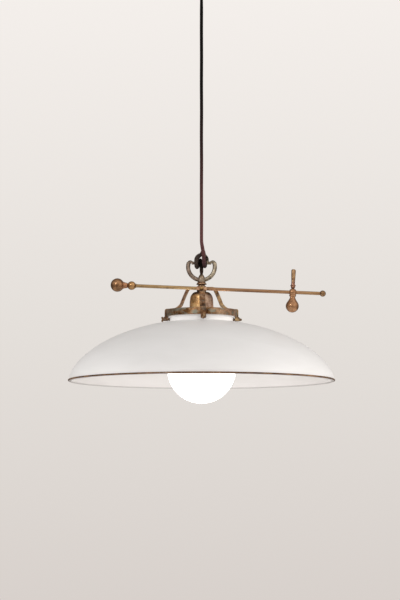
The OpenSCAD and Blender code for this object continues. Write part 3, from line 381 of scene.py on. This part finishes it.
def aged_brass(name, deep, tarnish, worn, mottle_mm, stretch=(1, 1, 1), rough=(0.28, 0.5), lines=None,
               relief=0.25, edge=0.5, zones=(), bloom=None):
    """Brass that has browned unevenly: cloudy patches of tarnish, dark in the corners and rubbed bright
    on the edges. Its specks and scratches are drawn about four times as coarse as real ones, so that
    they show. lines gives the spacing in mm of the marks of the lathe along an axis, zones an axis,
    where a change of colour starts and ends, and its three colours, which some finishes use for painted
    light and shade on one side, and bloom the colour, size in mm and strength of the dull film that old
    brass grows."""
    finish, tree, shader = new_finish(name)
    place = node(tree, "TexCoord").outputs["Object"]
    drawn = node(tree, "Mapping", {"Vector": place, "Scale": stretch})
    clouds = node(tree, "TexNoise", {"Vector": drawn.outputs[0], "Scale": 1000 / mottle_mm,
                                     "Detail": 7.0, "Roughness": 0.62}).outputs["Fac"]
    specks = node(tree, "TexNoise", {"Vector": place, "Scale": 1000 / speck_mm, "Detail": 3.0})
    scratch_place = node(tree, "Mapping", {"Vector": place, "Scale": (0.25 * stretch[0], 1, 1),
                                           "Rotation": (0.4, 0.3, 0.7)})
    scratches = node(tree, "TexNoise", {"Vector": scratch_place.outputs[0], "Scale": 1000 / scratch_mm,
                                        "Detail": 2.0})
    wide = node(tree, "Math", {0: clouds, 1: 0.8}, operation="MULTIPLY")
    mottled = node(tree, "Math", {0: specks.outputs["Fac"], 1: 0.2, 2: wide.outputs[0]},
                   operation="MULTIPLY_ADD").outputs[0]
    tones = (0.36, 0.5, 0.64)
    tint = node(tree, "ValToRGB", {"Fac": mottled})
    colour_steps(tint, list(zip(tones, (deep, tarnish, worn))))
    cloudy = tint.outputs["Color"]
    for axis, start, end, *colours in zones:
        far = node(tree, "ValToRGB", {"Fac": mottled})
        colour_steps(far, list(zip(tones, colours)))
        where = node(tree, "SeparateXYZ", {0: place}).outputs[axis]
        wander = node(tree, "Math", {0: clouds, 1: boundary_wander, 2: where}, operation="MULTIPLY_ADD")
        shift = boundary_wander / 2
        change = node(tree, "MapRange", {"Value": wander.outputs[0], "From Min": start + shift,
                                         "From Max": end + shift}, interpolation_type="SMOOTHSTEP")
        cloudy = node(tree, "MixRGB", {"Fac": change.outputs[0], "Color1": cloudy,
                                       "Color2": far.outputs["Color"]}).outputs[0]
    if bloom:
        film_colour, film_mm, film_most = bloom
        level_place = node(tree, "Mapping", {"Vector": place, "Scale": (1, 1, 2.6)})
        film = node(tree, "TexNoise", {"Vector": level_place.outputs[0], "Scale": 1000 / film_mm,
                                       "Detail": 4.0, "Distortion": 0.4})
        grown = node(tree, "MapRange", {"Value": film.outputs["Fac"], "From Min": 0.48,
                                        "From Max": 0.62, "To Min": 0.0, "To Max": film_most})
        cloudy = node(tree, "MixRGB", {"Fac": grown.outputs[0], "Color1": cloudy,
                                       "Color2": linear(film_colour)}).outputs[0]
    corner = node(tree, "AmbientOcclusion", {"Distance": corner_depth}, samples=6)
    hollow = node(tree, "MapRange", {"Value": corner.outputs["AO"], "From Min": 0.35, "From Max": 0.95})
    grimy = node(tree, "MixRGB", {"Fac": hollow.outputs[0], "Color1": linear(deep), "Color2": cloudy})
    rounded = node(tree, "Bevel", {"Radius": worn_edge}, samples=4)
    surface = node(tree, "NewGeometry").outputs["Normal"]
    level = node(tree, "VectorMath", {0: rounded.outputs[0], 1: surface}, operation="DOT_PRODUCT")
    sharp = node(tree, "MapRange", {"Value": level.outputs["Value"], "From Min": 0.995, "From Max": 0.9,
                                    "To Min": 0.0, "To Max": edge})
    rubbed = node(tree, "MixRGB", {"Fac": sharp.outputs[0], "Color1": grimy.outputs[0],
                                   "Color2": linear(worn)})
    tree.links.new(rubbed.outputs[0], shader.inputs["Base Color"])
    dull = node(tree, "MapRange", {"Value": mottled, "From Min": 0.35, "From Max": 0.65,
                                   "To Min": rough[1], "To Max": rough[0]})
    tree.links.new(dull.outputs[0], shader.inputs["Roughness"])
    height = node(tree, "Math", {0: clouds, 1: scratches.outputs["Fac"]}, operation="ADD").outputs[0]
    if lines:
        spacing_mm, axis = lines
        along = node(tree, "SeparateXYZ", {0: place}).outputs[axis]
        turned = node(tree, "Math", {0: along, 1: 2 * math.pi * 1000 / spacing_mm},
                      operation="MULTIPLY")
        groove = node(tree, "Math", {0: turned.outputs[0]}, operation="SINE")
        height = node(tree, "Math", {0: groove.outputs[0], 1: 0.25, 2: height},
                      operation="MULTIPLY_ADD").outputs[0]
    bump = node(tree, "Bump", {"Height": height, "Strength": relief, "Distance": 0.0003})
    tree.links.new(bump.outputs[0], shader.inputs["Normal"])
    shader.inputs["Metallic"].default_value = 1.0
    return finish


def plated_steel(name, light, dark, grain_mm, rough=(0.3, 0.5)):
    """Zinc or bare steel: a faint crystal pattern of the plating with tiny scratches."""
    finish, tree, shader = new_finish(name)
    place = node(tree, "TexCoord").outputs["Object"]
    crystals = node(tree, "TexVoronoi", {"Vector": place, "Scale": 1000 / grain_mm})
    fine = node(tree, "TexNoise", {"Vector": place, "Scale": 1000 / hairline_mm, "Detail": 4.0})
    grey = node(tree, "SeparateColor", {0: crystals.outputs["Color"]}).outputs[0]
    tint = node(tree, "MixRGB", {"Fac": grey, "Color1": linear(dark), "Color2": linear(light)})
    tree.links.new(tint.outputs[0], shader.inputs["Base Color"])
    dull = node(tree, "MapRange", {"Value": grey, "To Min": rough[0], "To Max": rough[1]})
    tree.links.new(dull.outputs[0], shader.inputs["Roughness"])
    bump = node(tree, "Bump", {"Height": fine.outputs["Fac"], "Strength": 0.12, "Distance": 0.0002})
    tree.links.new(bump.outputs[0], shader.inputs["Normal"])
    shader.inputs["Metallic"].default_value = 1.0
    return finish


cup_brass = aged_brass("spun_brass_cup", "5A4030", "8A6B4A", "B08A5C", 16, lines=(0.9, "Z"), relief=0.2)
finish_nodes(cup_brass, "ceiling_cup", "cord_grip")
side_screw_brass = aged_brass("turned_brass_side_screws", "7A5C3A", "A07C4C", "C9A468", 5, relief=0.2)
finish_nodes(side_screw_brass, "cup_side_screws")
zinc_strip = plated_steel("zinc_plated_strip", "C4C6C6", "9A9D9F", 3.5)
finish_nodes(zinc_strip, "ceiling_bracket")
zinc_thread = plated_steel("zinc_plated_thread", "BFC0BE", "8E9092", 1.8)
finish_nodes(zinc_thread, "grip_nipple", "nipple_nuts", "stem_tube")
plain_steel = plated_steel("plain_steel_screws", "B4B5B6", "7F8183", 1.2)
finish_nodes(plain_steel, "grip_screw", "terminal_screws", "bell_nut", "pivot_washer")


def two_tone(name, dark, light, grain_mm, detail, rough):
    """A smooth finish that wanders between two close tones. Its pattern comes back with it."""
    finish, tree, shader = new_finish(name)
    place = node(tree, "TexCoord").outputs["Object"]
    grain = node(tree, "TexNoise", {"Vector": place, "Scale": 1000 / grain_mm, "Detail": detail})
    tint = node(tree, "MixRGB", {"Fac": grain.outputs["Fac"], "Color1": linear(dark),
                                 "Color2": linear(light)})
    tree.links.new(tint.outputs[0], shader.inputs["Base Color"])
    shader.inputs["Roughness"].default_value = rough
    return finish, tree, shader, grain.outputs["Fac"]


# Moulded polyamide is a warm white with a fine matt grain.
polyamide, tree, shader, grain = two_tone("moulded_polyamide_white", "DEDBD2", "F0EEE8", 0.8, 3.0, 0.45)
bump = node(tree, "Bump", {"Height": grain, "Strength": 0.1, "Distance": 0.0002})
tree.links.new(bump.outputs[0], shader.inputs["Normal"])
finish_nodes(polyamide, "terminal_block")


def core_insulation(name, split_m):
    """PVC insulation of the cores: brown on the left, green with a yellow stripe, blue on the right."""
    finish, tree, shader = new_finish(name)
    place = node(tree, "TexCoord").outputs["Object"]
    across = node(tree, "SeparateXYZ", {0: place}).outputs
    which = node(tree, "MapRange", {"Value": across["X"], "From Min": -split_m * 1.5,
                                    "From Max": split_m * 1.5})
    tint = node(tree, "ValToRGB", {"Fac": which.outputs[0]})
    tint.color_ramp.interpolation = "CONSTANT"
    colour_steps(tint, [(0.0, "5B3A22"), (1 / 3, "3F7A3A"), (2 / 3, "2C4F87")])
    stripe_mm = 9
    stripe = node(tree, "TexWave", {"Vector": place, "Scale": 1000 / stripe_mm, "Distortion": 0.0},
                  bands_direction="Z")
    middle = node(tree, "Math", {0: across["X"]}, operation="ABSOLUTE")
    near = node(tree, "Math", {0: middle.outputs[0], 1: split_m / 2}, operation="LESS_THAN")
    yellow = node(tree, "Math", {0: stripe.outputs["Fac"], 1: 0.62}, operation="GREATER_THAN")
    earth = node(tree, "Math", {0: near.outputs[0], 1: yellow.outputs[0]}, operation="MULTIPLY")
    striped = node(tree, "MixRGB", {"Fac": earth.outputs[0], "Color1": tint.outputs["Color"],
                                    "Color2": linear("C9B13A")})
    tree.links.new(striped.outputs[0], shader.inputs["Base Color"])
    shader.inputs["Roughness"].default_value = 0.4
    return finish


finish_nodes(core_insulation("pvc_cores_ceiling", split_m=0.002), "ceiling_cores")
finish_nodes(core_insulation("pvc_cores_holder", split_m=0.004), "holder_cores")


# Suspension ring. One bronze casting: a crescent with two curled horns, a bow for the cord and a
# threaded boss, almost black at the bow, and painted lighter on its right as light falling from the
# right. The cone that guides the cord in and the turned bead below have the same patina.
bow_foot_z = -0.563
ring_bronze = aged_brass("cast_bronze_grey_patina", "51453E", "96857A", "C8B5A5", 7,
                         rough=(0.34, 0.6), relief=0.45, edge=0.6, bloom=("A29A8E", 9, 0.5),
                         # Painted light: the zone along X lightens the right side.
                         zones=(("X", -0.012, 0.016, "6E6656", "B8AD99", "E4DAC4"),
                                ("Z", bow_foot_z, bow_foot_z + 0.002, "0E0A08", "2A221E", "463C35")))
finish_nodes(ring_bronze, "suspension_ring")
inlet_bronze = aged_brass("turned_bronze_inlet", "52463B", "978574", "CCB89E", 6, lines=(0.8, "Z"))
finish_nodes(inlet_bronze, "cable_inlet")
collar_bronze = aged_brass("turned_bronze_collar", "3E2D25", "A4826A", "E4BD9A", 6, lines=(0.8, "Z"),
                           edge=0.8)
finish_nodes(collar_bronze, "ring_collar")


# Gallery. Four flat arms cast in one piece with the hub, riveted to a brass band, browned in the bath
# and greyed by age, with the bell cup of thin spun brass under the hub. The front arm is browner. The
# right side of the arms and both ends of the band are painted lighter, as light falling on them, and
# the bell has a painted gold highlight on its left, a painted mauve reflection on its right and painted
# shade at its top under the hub.
spider_brass = aged_brass("cast_brass_spider", "4D362B", "876954", "C09F7E", 9,
                          rough=(0.34, 0.58), relief=0.4, edge=0.7, bloom=("8F897C", 12, 0.4),
                          # Painted light: the zone along X lightens the right side of the arms.
                          zones=(("X", -0.01, 0.02, "735A43", "C4A47B", "F2D4A0"),
                                 ("Y", -0.022, -0.03, "38271C", "866349", "C6A078")))
finish_nodes(spider_brass, "arm_spider", "band_rivets")
band_brass = aged_brass("drawn_brass_band", "482C1C", "82603F", "CFA680", 12,
                        rough=(0.34, 0.58), relief=0.3, edge=1.0, bloom=("9AA094", 16, 0.8),
                        # Painted light: both zones lighten the ends of the band.
                        zones=(("X", -0.045, -0.062, "5C4A3C", "A48A72", "E0C6AA"),
                               ("X", 0.012, 0.06, "7C604C", "D0AC90", "F6DEC4")))
finish_nodes(band_brass, "gallery_band")
bell_brass = aged_brass("spun_brass_bell", "8E6A42", "E0B47E", "FFE0A8", 13, lines=(0.7, "Z"),
                        rough=(0.32, 0.48), relief=0.12, edge=0.4, bloom=("C0A888", 14, 0.3),
                        # Painted highlight, reflection and shade: gold on the left, mauve and a pale
                        # edge on the right, and dark at the top under the hub.
                        zones=(("X", -0.013, -0.02, "A88252", "FFD8A0", "FFECC8"),
                               ("X", -0.004, 0.005, "54402F", "9C8070", "D2BAA8"),
                               ("X", 0.012, 0.018, "8C7264", "E8CCBC", "FFE8DA"),
                               ("Z", -0.6275, -0.6215, "22180F", "5A4638", "86705E")))
finish_nodes(bell_brass, "bell_cup")


# Lampholder. A nickel-plated brass cap and skirt round a porcelain insert with a copper-alloy shell.
# The plating mirrors the room softly, and the glaze is a clean cream.
nickel = plated_steel("nickel_plated_brass", "D8D4CC", "B4AFA6", 2.2, rough=(0.18, 0.32))
finish_nodes(nickel, "holder_cap", "holder_skirt", "holder_shell", "holder_contact", "bulb_cap")
finish_nodes(two_tone("glazed_porcelain", "E6E2D6", "F4F2EC", 3.0, 3.0, 0.22)[0], "holder_insert")


# Glass shade. Mouth-blown opal glass, 4 mm thick, ground at the neck and fire-polished outside, with
# an amber glass thread fused on its rim. The opal layer shows as soft white with faint blown swirls.
# A thin grey line along the foot of the glass is painted shade on its edge, and a faint emission that
# rises at the neck, where the bulb is near, is a painted glow of the bulb's light through the glass.
shade_foot_z = -0.7832
foot_shade_start, foot_shade_end = 0.001, 0.0026
neck_foot_z = -0.677
painted_glow_height = 0.0035
swirl_mm = 90
seed_mm = 14
opal, tree, shader = new_finish("blown_opal_glass")
place = node(tree, "TexCoord").outputs["Object"]
swirl_place = node(tree, "Mapping", {"Vector": place, "Scale": (1, 1, 3.2)})
swirl = node(tree, "TexNoise", {"Vector": swirl_place.outputs[0], "Scale": 1000 / swirl_mm,
                                "Detail": 3.0, "Distortion": 0.6}).outputs["Fac"]
seeds = node(tree, "TexVoronoi", {"Vector": place, "Scale": 1000 / seed_mm})
bubble = node(tree, "MapRange", {"Value": seeds.outputs["Distance"], "From Min": 0.0, "From Max": 0.05})
tint = node(tree, "MixRGB", {"Fac": swirl, "Color1": linear("DEDCDA"), "Color2": linear("E9E7E6")})
height = node(tree, "SeparateXYZ", {0: place}).outputs["Z"]
# Painted shade: a grey band along the foot of the glass.
foot = node(tree, "MapRange", {"Value": height, "From Min": shade_foot_z + foot_shade_start,
                               "From Max": shade_foot_z + foot_shade_end})
greyed = node(tree, "MixRGB", {"Fac": foot.outputs[0], "Color1": linear("BFBCBA"),
                               "Color2": tint.outputs[0]})
tree.links.new(greyed.outputs[0], shader.inputs["Base Color"])
ripple = node(tree, "Math", {0: swirl, 1: bubble.outputs[0]}, operation="ADD")
bump = node(tree, "Bump", {"Height": ripple.outputs[0], "Strength": 0.06, "Distance": 0.0006})
tree.links.new(bump.outputs[0], shader.inputs["Normal"])
# Painted glow: a faint emission over the glass that rises towards the neck.
painted_glow_rise = node(tree, "MapRange", {"Value": height, "From Min": neck_foot_z,
                                    "From Max": neck_foot_z + painted_glow_height,
                                    "To Min": 0.02, "To Max": 0.13})
tree.links.new(painted_glow_rise.outputs[0], shader.inputs["Emission Strength"])
shader.inputs["Emission Color"].default_value = linear("FFFAF8")
shader.inputs["Roughness"].default_value = 0.39
shader.inputs["IOR"].default_value = 1.45
finish_nodes(opal, "glass_shade")

# Amber glass is a deep brown in so thin a thread, with streaks along it.
streak_mm = 22
amber, tree, shader = new_finish("amber_glass_thread")
place = node(tree, "TexCoord").outputs["Object"]
flow = node(tree, "TexNoise", {"Vector": place, "Scale": 1000 / streak_mm, "Detail": 4.0})
tint = node(tree, "ValToRGB", {"Fac": flow.outputs["Fac"]})
colour_steps(tint, [(0.35, "4A3020"), (0.5, "684A33"), (0.66, "8C6A4C")])
tree.links.new(tint.outputs[0], shader.inputs["Base Color"])
shader.inputs["Roughness"].default_value = 0.16
shader.inputs["IOR"].default_value = 1.52
finish_nodes(amber, "shade_rim_thread")


# Thumbscrews. Cast brass wings on turned threads, screwed through the bosses of the arms against the
# neck of the shade. They are brown where fingers don't reach.
wing_brass = aged_brass("cast_brass_thumbscrew", "4E3A32", "90745C", "C8AA86", 5, relief=0.3, edge=0.8)
finish_nodes(wing_brass, *("thumbscrew_" + side for side in ("right", "back", "left", "front")))


# Bulb. A 125 mm globe of clear glass coated white inside, so that it glows evenly, with a
# nickel-plated screw cap, a black glass insulator and the glass mount that carries the filaments.
glow, tree, shader, _ = two_tone("opal_coated_bulb_glass", "F8F4F0", "FFFDFB", 30, 2.0, 0.12)
shader.inputs["Emission Color"].default_value = linear("FFFCFA")
shader.inputs["Emission Strength"].default_value = 2.4
finish_nodes(glow, "bulb_globe")
finish_nodes(two_tone("black_cap_glass", "0C0C10", "1E1E26", 2.0, 2.0, 0.15)[0], "bulb_contact")

# Drawn lead glass is clear, with slight pull marks.
pull_mm = 5
clear_glass, tree, shader = new_finish("clear_lead_glass")
place = node(tree, "TexCoord").outputs["Object"]
pull = node(tree, "TexNoise", {"Vector": place, "Scale": 1000 / pull_mm})
bump = node(tree, "Bump", {"Height": pull.outputs["Fac"], "Strength": 0.1, "Distance": 0.0003})
tree.links.new(bump.outputs[0], shader.inputs["Normal"])
shader.inputs["Base Color"].default_value = linear("EEF2F2")
shader.inputs["Transmission Weight"].default_value = 1.0
shader.inputs["Roughness"].default_value = 0.03
finish_nodes(clear_glass, "bulb_mount")


# Balance lever. Drawn brass rods screwed into a flat boss that rocks on the pivot screw, with turned
# balls. Handling keeps it warmer and brighter than the gallery; the balls are browner.
satin = (0.3, 0.46)
left_rod_brass = aged_brass("drawn_brass_left_rod", "9E825E", "BFA177", "D4B88E", 7,
                            stretch=(0.18, 1, 1), rough=satin, relief=0.2)
finish_nodes(left_rod_brass, "left_rod", "left_collar")
right_rod_brass = aged_brass("drawn_brass_right_rod", "906D53", "B08A6A", "C7A37F", 9,
                             stretch=(0.14, 1, 1), rough=satin, relief=0.2,
                             zones=(("X", 0.17, 0.2, "74563E", "A4825F", "C6A178"),))
finish_nodes(right_rod_brass, "right_rod")
boss_brass = aged_brass("cast_brass_lever_boss", "7B5943", "C49C7D", "F2CBAB", 6, rough=(0.3, 0.44),
                        edge=0.7)
finish_nodes(boss_brass, "lever_boss")
for piece, browns, mottle_mm, rough, zones in (
        ("large_ball", ("77583F", "A07A5A", "C09873"), 8, (0.24, 0.38),
         (("X", -0.15, -0.14, "6F4A39", "B07F5F", "DEAB88"),)),
        ("small_ball", ("997650", "C89D6D", "DDB584"), 8, (0.14, 0.26), ()),
        ("end_knob", ("765C45", "967759", "AE8E6C"), 5, (0.18, 0.3), ())):
    finish_nodes(aged_brass("turned_brass_" + piece, *browns, mottle_mm, lines=(0.8, "X"), relief=0.15,
                            rough=rough, zones=zones), piece)
pivot_brass = aged_brass("turned_brass_pivot_screw", "8A6A42", "BC9862", "E2C48A", 4, relief=0.15,
                         rough=(0.2, 0.35))
finish_nodes(pivot_brass, "pivot_screw")


# Sliding weight. A bored ball with a pear-shaped weight below and a long clamp handle above, turned
# from a redder brass and polished by use. The foot of the handle is darker.
weight_brass = aged_brass("turned_red_brass_weight", "946C51", "BB8F6B", "D0A481", 7, lines=(0.8, "Z"),
                          relief=0.15, rough=(0.16, 0.28))
finish_nodes(weight_brass, "slider_ball", "slider_pear")
handle_brass = aged_brass("turned_red_brass_handle", "95765D", "BF9D79", "DBBB91", 7, lines=(0.8, "Z"),
                          relief=0.15, rough=(0.2, 0.34),
                          zones=(("Z", -0.597, -0.604, "59352D", "946A58", "BD8F7D"),))
finish_nodes(handle_brass, "slider_handle")
